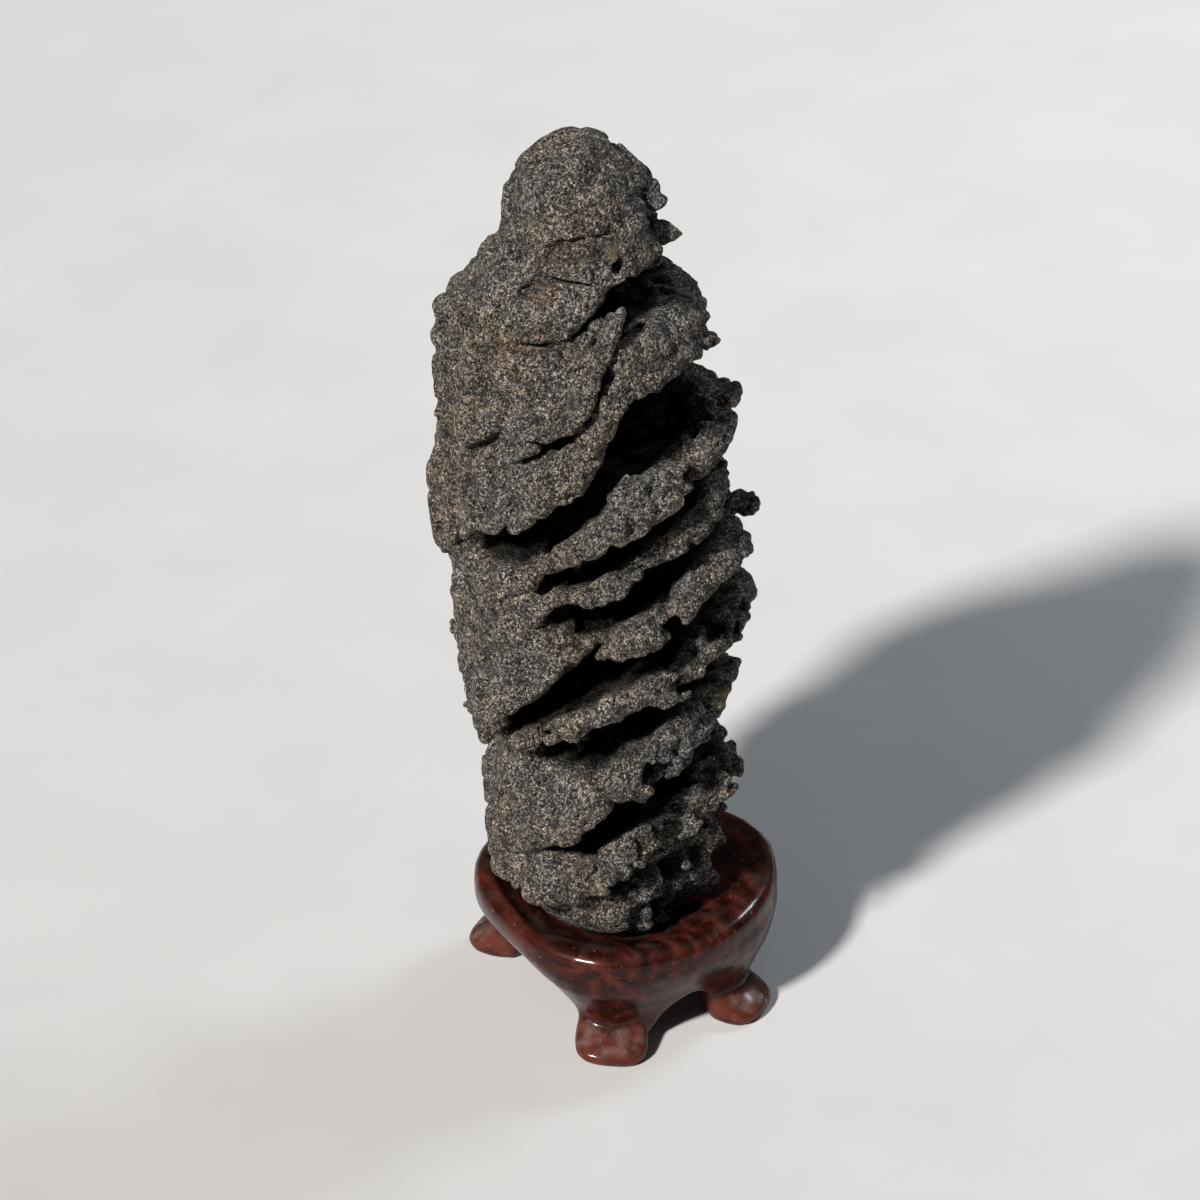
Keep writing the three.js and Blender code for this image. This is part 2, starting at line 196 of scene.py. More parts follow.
# %% Make a mesh of a skin and paint its points
def mesh_piece(name, points, quads, triangle_limit):
    """A smooth-shaded mesh object from a skin, thinned out where it is flattest."""
    mesh = bpy.data.meshes.new(name)
    mesh.from_pydata(points * MM, [], quads)
    piece = bpy.data.objects.new(name, mesh)
    bpy.context.scene.collection.objects.link(piece)
    if 2 * len(quads) > triangle_limit:
        thin = piece.modifiers.new("thin out", "DECIMATE")
        thin.ratio = triangle_limit / (2 * len(quads))
        finished = piece.evaluated_get(bpy.context.evaluated_depsgraph_get())
        piece.data = bpy.data.meshes.new_from_object(finished)
        piece.modifiers.clear()
        bpy.data.meshes.remove(mesh)
    piece.data.name = name
    piece.data.shade_smooth()
    print(name, "has", len(piece.data.polygons), "faces")
    return piece


def places_of(piece):
    """The points of a piece, in mm."""
    places = np.empty(len(piece.data.vertices) * 3, np.float32)
    piece.data.vertices.foreach_get("co", places)
    return places.reshape(-1, 3) / MM


def paint(piece, name, values):
    """Stores one number per point, which a material can read by name."""
    layer = piece.data.attributes.new(name, "FLOAT", "POINT")
    layer.data.foreach_set("value", np.clip(values, 0, 1).astype(np.float32))

# %% [markdown]
# ## Repeatable roughness
#
# Stone is rough at every size, from a thumb's width down to a grain of sand. Two kinds of roughness are
# enough. Lumps are a smooth random landscape, and bubbles are a loose scatter of centres, which become
# pits and flakes. Blender has both as textures, but here they are needed as plain numbers, and a fixed
# recipe of whole-number sums gives the same stone each time.

# %% Helpers for lumps and bubbles
LATTICE_START = 4096


def lattice(i, j, k, seed):
    """A fixed random number from 0 to 1 for each whole-number place."""
    bits = i * np.uint32(374761393) ^ j * np.uint32(668265263) ^ k * np.uint32(1274126177)
    bits = bits ^ np.uint32(seed * 2654435 + 97)
    bits = (bits ^ (bits >> np.uint32(13))) * np.uint32(1103515245)
    bits = (bits ^ (bits >> np.uint32(15))) * np.uint32(2246822519)
    return (bits ^ (bits >> np.uint32(16))).astype(np.float32) / np.float32(4294967296)


def lumps(places, size, seed):
    """A smooth random landscape from -1 to 1 whose lumps are about size wide."""
    scaled = (places / size + LATTICE_START).astype(np.float32)
    whole = np.floor(scaled)
    part = scaled - whole
    part = part * part * (3 - 2 * part)
    cell = whole.astype(np.uint32)
    total = np.zeros(len(places), np.float32)
    for corner in itertools.product((0, 1), repeat=3):
        weight = np.prod(np.where(corner, part, 1 - part), axis=1)
        total += weight * lattice(*(cell + np.array(corner, np.uint32)).T, seed)
    return 2 * total - 1


def bubbles(places, size, seed):
    """The distance to the nearest centre of a loose scatter, about size apart, and that centre's number."""
    scaled = (places / size + LATTICE_START).astype(np.float32)
    cell = np.floor(scaled).astype(np.int32)
    nearest = np.full(len(places), 9, np.float32)
    number = np.zeros(len(places), np.float32)
    for step in itertools.product((-1, 0, 1), repeat=3):
        i, j, k = (cell + np.array(step, np.int32)).T
        corner = [axis.astype(np.uint32) for axis in (i, j, k)]
        away = [axis + lattice(*corner, seed + n) - scaled[:, n] for n, axis in enumerate((i, j, k))]
        gap = np.sqrt(sum(part * part for part in away)).astype(np.float32)
        nearer = gap < nearest
        nearest = np.where(nearer, gap, nearest)
        number = np.where(nearer, lattice(*corner, seed + 3), number)
    return nearest * size, number


def knobs(places, size, seed):
    """Rounded knobs with sharp creases between them, from about -1 to 1."""
    return 4 * np.abs(lumps(places, size, seed)) - 1


def flakes(places, size, seed):
    """Flat patches with broken edges, each at its own height from -1 to 1."""
    return 2 * bubbles(places, size, seed)[1] - 1


def fade(values, low, high):
    """0 below low, 1 above high and a smooth step between."""
    share = np.clip((values - low) / (high - low), 0, 1)
    return share * share * (3 - 2 * share)

# %% [markdown]
# ## The stone's own directions
#
# The stone is turned on its stand so that its best side faces over a corner. Its carving is easier to
# give in its own directions: x to the right of that best side, y away behind it and z up. Its beds are
# the slanting sheets that it was laid down in. They climb to the right, steepest at the waist, and
# everything broken follows them.

# %% Helpers in the stone's own directions
STONE_TURN = math.radians(30)
AXIS_FOOT_X = -0.4
AXIS_FOOT_HEIGHT = 15
AXIS_LEAN = -0.05
BED_HEIGHTS = [26, 37, 51, 61, 72, 79, 94, 103, 111, 118]
BED_RISES = [0.48, 0.56, 0.5, 0.7, 0.65, 0.6, 0.5, 0.4, 0.3, 0.15]
BROKEN_EDGE = {"size": 9, "ragged": 0.35, "fade": (-0.1, 0.6)}


def stone_axes(places):
    """Places in mm in the shared frame, given in the stone's own directions from the middle of the stand."""
    x, y, z = (places - np.array(stand_middle) / MM).T
    turned_x = math.cos(STONE_TURN) * x - math.sin(STONE_TURN) * y
    turned_y = math.sin(STONE_TURN) * x + math.cos(STONE_TURN) * y
    return np.stack([turned_x, turned_y, z], axis=1).astype(np.float32)


def from_axis(stone):
    """How far right of the leaning middle line a place is."""
    return stone[:, 0] - AXIS_FOOT_X - AXIS_LEAN * (stone[:, 2] - AXIS_FOOT_HEIGHT)


def bed_height(stone):
    """The height at which the bed through a place crosses the middle line."""
    right = from_axis(stone)
    height = stone[:, 2]
    for _ in range(2):
        height = stone[:, 2] - right * np.interp(height, BED_HEIGHTS, BED_RISES)
    return height


def broken_side(stone):
    """0 on the smooth weathered skin to the left, 1 on the broken ends of the beds to the right."""
    right = from_axis(stone)
    facing = right / np.maximum(np.hypot(right, stone[:, 1]), 1)
    ragged = BROKEN_EDGE["ragged"] * lumps(stone, BROKEN_EDGE["size"], 40)
    return fade(facing + ragged, *BROKEN_EDGE["fade"])

# %% [markdown]
# ## Measuring the stone
#
# Before anything is cut, each place near the surface learns three things. How far it is to the broken
# side, where the beds end. Whether it is on an edge, which stands proud of its softened surroundings. And
# how deep it lies in a hollow: think of a ball rolled all over the stone. It can't enter a notch, so the
# hollow's depth is the distance below the ball's skin. Cavity masks can be baked from Pointiness too, but
# that depends on the mesh's fineness.

# %% Measure the plain stone
CUBE = 0.36
CARVE_DEPTH = 4.6
CARVE_HEIGHT = 1.8
EDGE_CUBES = 3
EDGE_PROUD = (0.12, 0.5)

plain_stone = plain_mesh(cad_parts["rock"])
plain_distance, plain_first = distance_grid(*plain_stone, CUBE, CARVE_DEPTH + 2 * CUBE)
near = (plain_distance > -CARVE_DEPTH) & (plain_distance < CARVE_HEIGHT)
places = (np.argwhere(near) + plain_first) * CUBE
stone = stone_axes(places)
depth = plain_distance[near]
broken = broken_side(stone)
edge = fade(soften(plain_distance, EDGE_CUBES)[near] - depth, *EDGE_PROUD)
print("Grid", plain_distance.shape, "of", CUBE, "mm cubes,", len(stone), "of them near the surface")

# %% Roll a ball over the stone
BALL_RADIUS = 6
BALL_CUBE = 0.8
DEEPEST_HOLLOW = 14
HOLLOW_DEPTHS = (0.8, 3.5)

swollen, swollen_first = distance_grid(*plain_stone, BALL_CUBE, BALL_RADIUS + 3 * BALL_CUBE)
ball_points, ball_quads = skin(swollen, swollen_first, BALL_CUBE, BALL_RADIUS)
ball_reach = BALL_RADIUS + DEEPEST_HOLLOW
ball_skin, ball_first = distance_grid(ball_points, halved(ball_quads), BALL_CUBE, ball_reach)


def depth_below_ball(places):
    """How far below the skin of the rolling ball each place lies, in mm."""
    return -sample(ball_skin, ball_first, BALL_CUBE, places) - BALL_RADIUS


hollow = fade(depth_below_ball(places) + np.minimum(depth, 0), *HOLLOW_DEPTHS)
print("Share of the places in hollows:", round(float((hollow > 0.5).mean()), 2))

# %% [markdown]
# ## Carving the stone
#
# The left of the stone is a worn skin, granular but whole. To the right its beds end in thin, ragged
# lips, eaten by pits until they look like a wasps' nest. The plain solid has the plates and the deep
# hollows. The carving adds lumps, knobs and flakes of several sizes and thin seams, frays the ends of the
# beds, undercuts the hollows and chips the lips. A sculptor would do the same with brushes in Sculpt
# Mode, but sums can be changed and run again.

# %% Roughen the skin, fray the beds, undercut the hollows and chip the lips
SHELL_DEPTH = 2.4
SKIN_LUMPS = {7: 0.55, 2.4: 0.25, 0.85: 0.24}
SKIN_KNOBS = {3.2: 0.1, 1.2: 0.12}
SKIN_FLAKES = {6.5: 0.75, 2.6: 0.5}
SEAMS = {"size": 5.5, "wide": 0.18, "deep": 1.3, "patch": 12, "patch fade": (0.0, 0.4)}
BROKEN_KNOBS = {2.2: 0.26, 1.1: 0.24}
BED_WARP = {11: 1.6, 3.5: 0.5}
BED_THICKNESS = {1.8: 0.6, 0.9: 0.35}
BED_LENGTH = 6
TALLEST = 0.9
UNDERCUT = 0.8
CHIPS = {3.4: 1.0, 1.3: 0.9}
CHIP_FADE = (0.0, 0.45)
SEAT_HEIGHT = 15
SEAT_CLEAR = 5

shell = depth > -SHELL_DEPTH
outer = stone[shell]


def heap(pattern, sizes, seed):
    """The sum of one pattern at several sizes, each with its own height."""
    return sum(tall * pattern(outer, size, seed + n) for n, (size, tall) in enumerate(sizes.items()))


rise = heap(lumps, SKIN_LUMPS, 1) + heap(knobs, SKIN_KNOBS, 5) + heap(flakes, SKIN_FLAKES, 101)
rise += broken[shell] * heap(knobs, BROKEN_KNOBS, 11)
seamed = fade(lumps(outer, SEAMS["patch"], 46), *SEAMS["patch fade"])
rise -= SEAMS["deep"] * seamed * fade(-np.abs(lumps(outer, SEAMS["size"], 47)), -SEAMS["wide"], 0)
beds = bed_height(outer) + heap(lumps, BED_WARP, 21)
for n, (thick, tall) in enumerate(BED_THICKNESS.items()):
    leaves = np.stack([outer[:, 0] / BED_LENGTH, outer[:, 1] / BED_LENGTH, beds / thick], axis=1)
    rise += broken[shell] * tall * lumps(leaves, 1, 31 + n)
rise = np.minimum(rise, TALLEST)
rise = np.where(rise > 0, rise * (1 - hollow[shell]), rise) - UNDERCUT * hollow[shell]
for n, (size, tall) in enumerate(CHIPS.items()):
    rise -= edge[shell] * tall * fade(lumps(outer, size, 36 + n), *CHIP_FADE)
clear_of_seat = fade(outer[:, 2], SEAT_HEIGHT, SEAT_HEIGHT + SEAT_CLEAR)
carved = depth.copy()
carved[shell] -= np.where(rise > 0, rise * clear_of_seat, rise)
print("Lumps from", round(float(rise.min()), 2), "to", round(float(rise.max()), 2), "mm")

# %% [markdown]
# ## Small knobs on the outline
#
# A few knobs break the outline: two on the crown and two on the left shoulder. Three more fill out the
# lip below the slit under the head, which is only a thin line at its left end. Metaballs melt such knobs
# together too, but here each is just the distance from a ball, and keeping the smaller of two distances
# joins it to the stone.

# %% Add the knobs
KNOBS = {
    "crown, left": (1.3, (-5.9, 0.8, 127.4)),
    "crown, right": (1.2, (-2.4, 0.0, 127.2)),
    "left shoulder": (1.8, (-22.4, -0.5, 105.5)),
    "upper shoulder": (1.7, (-15.9, -0.5, 112.6)),
    "lip of the slit, left": (1.8, (-6.6, -12.6, 104.9)),
    "lip of the slit, middle": (1.8, (-4.8, -12.4, 106.7)),
    "lip of the slit, right": (1.7, (-3.0, -11.9, 108.7)),
}
KNOB_MARGIN = 4
KNOB_RAGGED = {"size": 1.2, "tall": 0.3}


def places_around(low, high, margin):
    """The numbers of the places in a box with a margin around it."""
    inside = (stone > np.array(low) - margin) & (stone < np.array(high) + margin)
    return np.flatnonzero(np.all(inside, axis=1))


for wide, middle in KNOBS.values():
    close = places_around(middle, middle, KNOB_MARGIN)
    away = np.linalg.norm(stone[close] - np.array(middle), axis=1)
    ragged = KNOB_RAGGED["tall"] * lumps(stone[close], KNOB_RAGGED["size"], 41)
    carved[close] = np.minimum(carved[close], away - wide + ragged)
print("Added:", ", ".join(KNOBS))

# %% [markdown]
# ## Pits
#
# Water has eaten the broken side into pits, and the lower right into a lace of them. They crowd on the
# edges of the lips, and the hollows and the crown have none. A Boolean modifier would choke on so many
# balls, but a loose scatter of bubbles needs one sum for each size.

# %% Eat the pits
PITS = [
    {"apart": 4.4, "widest": 0.46, "deepest": 3.4, "seed": 51},
    {"apart": 2.4, "widest": 0.52, "deepest": 2.6, "seed": 56},
    {"apart": 1.3, "widest": 0.5, "deepest": 1.0, "seed": 61},
]
LACE = {"right of": -1, "right fade": 8, "top": 58, "top fade": 18}
WORM_EATEN = {"size": 10, "fade": (-0.15, 0.35), "share": 0.6}
PITTED_EDGE = {"share": 0.35, "skin": 0.3}
PIT_TOP = 120
PIT_TOP_FADE = 8
MOST_PITTED = 1.2
LEAST_PITTED = 0.05
PIT_GROWTH = 1.8
PIT_MARGIN = 0.4

lace = fade(from_axis(stone) - LACE["right of"], 0, LACE["right fade"])
lace *= fade(LACE["top"] - stone[:, 2], 0, LACE["top fade"])
worm_eaten = broken * fade(lumps(stone, WORM_EATEN["size"], 45), *WORM_EATEN["fade"])
pitted_edge = edge * (PITTED_EDGE["skin"] + broken)
pitted = WORM_EATEN["share"] * worm_eaten + lace + PITTED_EDGE["share"] * pitted_edge
pitted = np.clip(pitted, 0, MOST_PITTED) * (1 - hollow) * fade(PIT_TOP - stone[:, 2], 0, PIT_TOP_FADE)
for pit in PITS:
    eaten = np.flatnonzero((pitted > LEAST_PITTED) & (depth > -pit["deepest"] - PIT_MARGIN))
    gap, number = bubbles(stone[eaten], pit["apart"], pit["seed"])
    wide = pit["apart"] * pit["widest"] * np.clip(PIT_GROWTH * (pitted[eaten] - number), 0, 1)
    wide *= fade(depth[eaten], -pit["deepest"], -0.5 * pit["deepest"])
    carved[eaten] = np.maximum(carved[eaten], wide - gap)
print("Pits reach", int((pitted > LEAST_PITTED).sum()), "places")

# %% [markdown]
# ## Cracks
#
# The cracks that one remembers are placed one by one: the slit under the head, the thin lines on the left
# and the split lip below the waist. Each has a width, a depth and a short route over the surface, all in
# mm. The Knife tool would leave clean sides. A blade of distances with a ragged width looks broken.

# %% Cut the cracks
CRACKS = {
    "straight crack on the head": (0.9, 1.8, [
        (-12.8, -9.6, 114.2),
        (-9.6, -11.5, 115.0),
        (-4.0, -12.7, 114.6),
    ]),
    "ragged line under the crown": (0.85, 1.4, [
        (-9.4, -10.8, 116.6),
        (-9.1, -10.3, 118.5),
        (-7.7, -10.8, 119.2),
        (-5.0, -11.0, 119.9),
        (-2.6, -9.9, 120.2),
    ]),
    "stained pocket": (0.7, 1.4, [
        (-13.7, -10.4, 110.4),
        (-13.0, -10.1, 112.4),
        (-11.5, -11.0, 113.5),
        (-9.6, -12.0, 113.7),
    ]),
    "hole by the lichen": (1.6, 2.6, [(-0.2, -11.0, 117.3), (-0.7, -11.7, 116.0)]),
    "slit under the head": (0.8, 2.6, [
        (-7.0, -14.2, 107.3),
        (-4.6, -13.7, 109.6),
        (-2.1, -12.6, 112.1),
        (0.3, -12.1, 114.6),
        (3.5, -8.5, 115.3),
        (6.3, -4.0, 115.6),
    ]),
    "wide end of the slit": (1.8, 3.4, [
        (-3.4, -13.0, 110.4),
        (-0.6, -12.3, 112.9),
        (2.5, -9.5, 114.4),
        (6.3, -4.0, 115.2),
    ]),
    "thin end of the slit": (0.8, 1.6, [(-14.0, -12.0, 105.6), (-10.5, -13.6, 106.2), (-7.0, -14.2, 107.3)]),
    "crease left of the kink": (0.8, 2.0, [(-12.2, -17.4, 95.2), (-9.0, -17.0, 94.6), (-5.5, -16.6, 94.8)]),
    "long crack on the left": (0.95, 1.8, [
        (-21.0, -10.8, 88.5),
        (-19.6, -11.9, 90.9),
        (-17.4, -13.4, 92.6),
        (-14.8, -14.6, 94.9),
    ]),
    "short crack beside it": (0.8, 1.5, [(-12.9, -16.9, 91.9), (-10.6, -17.6, 93.1)]),
    "window in the right-hand plate": (1.8, 2.5, [(10.9, -4.2, 92.0), (11.2, -4.8, 90.8)]),
    "pocket at the waist": (2.4, 3.2, [(-11.1, -15.7, 65.8), (-8.6, -17.2, 68.6), (-5.6, -18.1, 70.7)]),
    "thin crack below it": (0.9, 1.6, [(-9.5, -16.3, 62.8), (-6.0, -17.9, 64.8)]),
    "split lip": (1.0, 3.2, [
        (-14.6, -13.9, 51.6),
        (-10.0, -15.9, 56.4),
        (-5.4, -18.9, 61.8),
        (-2.1, -17.2, 65.3),
    ]),
    "crack across the lower plate": (0.8, 2.2, [
        (-2.2, -17.0, 43.7),
        (-1.8, -16.5, 45.0),
        (0.6, -15.6, 46.4),
        (4.5, -13.7, 48.1),
    ]),
}
CRACK_RAGGED = {"size": 1.0, "tall": 0.3}
CRACK_END = 0.35
CRACK_MARGIN = 3


def crack_room(stone, depth, wide, deep, route):
    """How far inside a crack each place is: a blade that follows the route and stands in the surface."""
    route = np.array(route)
    lengths = np.linalg.norm(np.diff(route, axis=0), axis=1)
    walked = 0
    room = np.full(len(stone), -np.inf)
    ragged = CRACK_RAGGED["tall"] * lumps(stone, CRACK_RAGGED["size"], 71)
    for start, end, length in zip(route, route[1:], lengths):
        along = (end - start) / length
        inward = np.array([AXIS_FOOT_X, 0, start[2]]) - start
        inward -= along * (inward @ along)
        inward /= np.linalg.norm(inward)
        run = np.clip((stone - start) @ along, 0, length)
        off = stone - start - run[:, None] * along
        side = np.linalg.norm(off - (off @ inward)[:, None] * inward, axis=1)
        share = (walked + run) / lengths.sum()
        taper = CRACK_END + (1 - CRACK_END) * np.clip(4 * share * (1 - share), 0, 1)
        room = np.maximum(room, np.minimum(wide / 2 * taper - side + ragged, depth + deep * taper))
        walked += length
    return room


for wide, deep, route in CRACKS.values():
    close = places_around(np.min(route, axis=0), np.max(route, axis=0), CRACK_MARGIN)
    carved[close] = np.maximum(carved[close], crack_room(stone[close], depth[close], wide, deep, route))
print("Cut:", ", ".join(CRACKS))

# %% [markdown]
# ## A new skin for the stone
#
# The carved distances become a mesh again. The skin is first drawn a little inside the stone and then
# grown back out by as much. Threads of stone that are too thin to stand drop away on the way in, and the
# rest comes back. A Remesh modifier would keep such threads as loose crumbs. Decimate then thins the mesh,
# most where it is flat.

# %% Skin the stone
ROCK_TRIANGLES = 196000
THINNEST = 0.35

carved_distance = plain_distance.copy()
carved_distance[near] = carved
shrunk_points, shrunk_quads = skin(carved_distance, plain_first, CUBE, -THINNEST)
stone_distance, stone_first = distance_grid(shrunk_points, halved(shrunk_quads), CUBE, 4 * CUBE)
rock = mesh_piece("weathered_rock", *skin(stone_distance, stone_first, CUBE, THINNEST), ROCK_TRIANGLES)

# %% [markdown]
# ## What the stone's finish needs to know
#
# The rims of the lips get a painted pale highlight where light would catch them, and the hollows get
# painted shade, nearly black. Both are measured on the carved shape and painted onto its points, like
# vertex paint. Stains and lichen are single marks, so each is given by its place and its width.

# %% Paint rims, hollows and stains onto the stone
STAINS = [
    {"at": (-9.6, -12.1, 113.5), "wide": 1.7},
    {"at": (-11.4, -11.2, 113.2), "wide": 1.3},
    {"at": (-14.7, -11.4, 105.3), "wide": 1.6},
    {"at": (-4.6, -12.6, 112.5), "wide": 1.2},
]
LICHEN = [
    {"at": (-1.1, -10.6, 118.3), "wide": 1.1},
    {"at": (14.0, -8.6, 51.5), "wide": 1.7},
]
RIM_PROUD = 0.2
SHADE_DEPTHS = (1.2, 4.5)
CUT_DEPTHS = (0.7, 2.4)


def spots(stone, marks, seed):
    """1 in the middle of each mark, with a ragged fade to 0 around it."""
    total = np.zeros(len(stone))
    for mark in marks:
        away = np.linalg.norm(stone - np.array(mark["at"]), axis=1) / mark["wide"]
        total = np.maximum(total, fade(1.3 - away + 0.8 * lumps(stone, 1.1, seed), 0, 0.8))
    return total


points = places_of(rock)
stone_points = stone_axes(points)
paint(rock, "broken", broken_side(stone_points))
proud = sample(soften(stone_distance, 1), stone_first, CUBE, points) - THINNEST
paint(rock, "rim", proud / RIM_PROUD)
hollow_depth = depth_below_ball(points)
print("Hollows reach", round(float(hollow_depth.max()), 1), "mm below the ball")
carved_in = -sample(plain_distance, plain_first, CUBE, points)
# Painted shade: points deep in a hollow or cut below the plain surface are painted dark.
paint(rock, "hollow", np.maximum(fade(hollow_depth, *SHADE_DEPTHS), fade(carved_in, *CUT_DEPTHS)))
paint(rock, "stain", spots(stone_points, STAINS, 81))
paint(rock, "lichen", spots(stone_points, LICHEN, 82))
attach(rock, "root")
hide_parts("rock")
print("Stone box in mm:", points.min(axis=0).round(1), points.max(axis=0).round(1))

# %% [markdown]
# ## The stand
#
# The stand is cut from one block of rosewood: a dished seat with a soft rolled rim, and four legs that
# flow out into toes. A carver rounds every edge with a scraper, so no crisp corner is left. A Bevel
# modifier would need clean edges to work on, but softening the distances rounds everything at once, sharp
# edges most.

# %% Round the stand over
STAND_CUBE = 0.35
STAND_SOFTEN = 1
STAND_TRIANGLES = 120000
STAND_REACH = 3
SCRAPER_MARKS = {9: 0.2, 4: 0.08}
SCRAPER_REACH = 2
STAND_RIM = {"cubes": 4, "proud": 0.3}
STAND_HOLLOW = {"cubes": 5, "deep": 0.5}

stand_distance, stand_first = distance_grid(*plain_mesh(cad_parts["stand"]), STAND_CUBE, STAND_REACH)
stand_distance = soften(soften(stand_distance, STAND_SOFTEN), STAND_SOFTEN)
worked = np.abs(stand_distance) < SCRAPER_REACH
stand_places = (np.argwhere(worked) + stand_first) * STAND_CUBE
for n, (size, tall) in enumerate(SCRAPER_MARKS.items()):
    stand_distance[worked] += tall * lumps(stand_places, size, 91 + n)
stand = mesh_piece("polished_stand", *skin(stand_distance, stand_first, STAND_CUBE), STAND_TRIANGLES)

stand_points = places_of(stand)


def stand_proud(cubes):
    """How far each point of the stand stands out of its softened surroundings, in mm."""
    return sample(soften(stand_distance, cubes), stand_first, STAND_CUBE, stand_points)


paint(stand, "rim", stand_proud(STAND_RIM["cubes"]) / STAND_RIM["proud"])
paint(stand, "hollow", -stand_proud(STAND_HOLLOW["cubes"]) / STAND_HOLLOW["deep"])
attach(stand, "root")
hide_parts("stand")
print("Stand box in mm:", stand_points.min(axis=0).round(1), stand_points.max(axis=0).round(1))

# %% [markdown]
# ## Dust fibres
#
# Nothing stands on a table for long without dust: a few pale fibres have caught on the toes. Each is a
# thin tube on a wandering path that is dropped straight down onto the stand. A hair system could grow
# thousands, but here only a few are wanted, each lying flat.

# %% Lay the dust fibres
FIBRE_SPOTS = [
    {"at": (-13.4, -18.3), "count": 16},
    {"at": (13.2, -18.3), "count": 7},
    {"at": (-13.4, 18.3), "count": 5},
]
FIBRE_SPREAD = 1.1
FIBRE_LENGTH = 2.6
FIBRE_RADIUS = 0.025 * MM
FIBRE_STEPS = 12
FEWEST_STEPS = 4
FIBRE_CURL = 0.45
FIBRE_DROP = 1.0 * MM
ABOVE_STAND = 30 * MM
FIBRE_SEED = 7


def fibre_path(chance, spot):
    """A wandering path over the stand, which stops where the stand falls away."""
    place = np.array(spot["at"]) + chance.normal(0, FIBRE_SPREAD, 2)
    heading = chance.uniform(0, 2 * math.pi)
    path = []
    for _ in range(FIBRE_STEPS):
        above = stand_middle + Vector((*place * MM, ABOVE_STAND))
        found, touch, normal, _ = stand.ray_cast(above, Vector((0, 0, -1)))
        if not found or (path and abs(touch.z - path[-1].z) > FIBRE_DROP):
            break
        path.append(touch + normal * FIBRE_RADIUS)
        heading += chance.normal(0, FIBRE_CURL)
        place = place + np.array([math.cos(heading), math.sin(heading)]) * FIBRE_LENGTH / FIBRE_STEPS
    return path


bpy.context.view_layer.update()
chance = np.random.default_rng(FIBRE_SEED)
threads = bpy.data.curves.new("fibre_paths", "CURVE")
threads.dimensions = "3D"
threads.bevel_depth = FIBRE_RADIUS
threads.bevel_resolution = 0
threads.use_fill_caps = True
for spot in FIBRE_SPOTS:
    for _ in range(spot["count"]):
        path = fibre_path(chance, spot)
        if len(path) >= FEWEST_STEPS:
            spline = threads.splines.new("POLY")
            spline.points.add(len(path) - 1)
            spline.points.foreach_set("co", [value for point in path for value in (*point, 1)])
fibre_paths = bpy.data.objects.new("fibre_paths", threads)
fibres = bpy.data.objects.new("dust_fibres", bpy.data.meshes.new_from_object(fibre_paths))
bpy.context.scene.collection.objects.link(fibres)
bpy.data.objects.remove(fibre_paths)
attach(fibres, "root")
print("Laid", len(threads.splines), "fibres")

# %% [markdown]
# ## Building materials from nodes
#
# A finish here is a small tree of nodes: patterns feed masks, masks mix colours, and everything ends in
# one Principled BSDF. Written out one node at a time it would fill pages, so a few helpers add a node,
# link it and hand back its output. Effects that both the stone and the wood show are node groups, made
# once.

# %% Helpers that add nodes
def put(tree, kind, links=None, **settings):
    """Adds a node, sets it, and fills its inputs with values or with other nodes' outputs."""
    node = tree.nodes.new(kind)
    for name, value in settings.items():
        setattr(node, name, value)
    for name, value in (links or {}).items():
        if isinstance(value, bpy.types.NodeSocket):
            tree.links.new(value, node.inputs[name])
        else:
            node.inputs[name].default_value = value
    return node


def maths(tree, operation, *values):
    """One sum of values or of other nodes' outputs."""
    return put(tree, "ShaderNodeMath", dict(enumerate(values)), operation=operation).outputs[0]


def step(tree, value, low, high):
    """A smooth step from 0 at low to 1 at high."""
    links = {"Value": value, "From Min": low, "From Max": high}
    return put(tree, "ShaderNodeMapRange", links, interpolation_type="SMOOTHSTEP").outputs[0]


def mixed(tree, share, under, over, how="MIX"):
    """One colour over another, by a share from 0 to 1."""
    links = {0: share, 6: under, 7: over}
    return put(tree, "ShaderNodeMix", links, data_type="RGBA", blend_type=how).outputs[2]


def tones(tree, value, stops):
    """A row of colours picked by a value from 0 to 1."""
    node = put(tree, "ShaderNodeValToRGB", {"Fac": value})
    while len(node.color_ramp.elements) < len(stops):
        node.color_ramp.elements.new(0.5)
    for element, (place, colour) in zip(node.color_ramp.elements, stops):
        element.position = place
        element.color = (*colour, 1)
    return node.outputs[0]


def painted(tree, name):
    """A number that was painted onto the mesh."""
    return put(tree, "ShaderNodeAttribute", attribute_name=name).outputs["Fac"]


def noise(tree, place, size, detail=2.0):
    """Cloudy noise with clouds about size mm wide."""
    links = {"Vector": place, "Scale": 1 / (size * MM), "Detail": detail}
    return put(tree, "ShaderNodeTexNoise", links).outputs[0]


def object_places(tree):
    """Where each point is on the piece itself, so that patterns stay with it."""
    return put(tree, "ShaderNodeTexCoord").outputs["Object"]

# %% Helpers for groups and materials
def effect_group(name, inputs, outputs):
    """An empty node group with named sockets, and its two ends."""
    group = bpy.data.node_groups.new(name, "ShaderNodeTree")
    for label, value in inputs.items():
        group.interface.new_socket(label, in_out="INPUT", socket_type="NodeSocketFloat").default_value = value
    for label in outputs:
        group.interface.new_socket(label, in_out="OUTPUT", socket_type="NodeSocketFloat")
    return group, group.nodes.new("NodeGroupInput").outputs, group.nodes.new("NodeGroupOutput").inputs


def use_group(tree, group, **values):
    """Places a group in a material with its own values."""
    return put(tree, "ShaderNodeGroup", values, node_tree=group).outputs


def finish_tree(name):
    """A new material, its node tree and its Principled BSDF."""
    material = bpy.data.materials.new(name)
    material.use_nodes = True
    return material, material.node_tree, material.node_tree.nodes["Principled BSDF"]

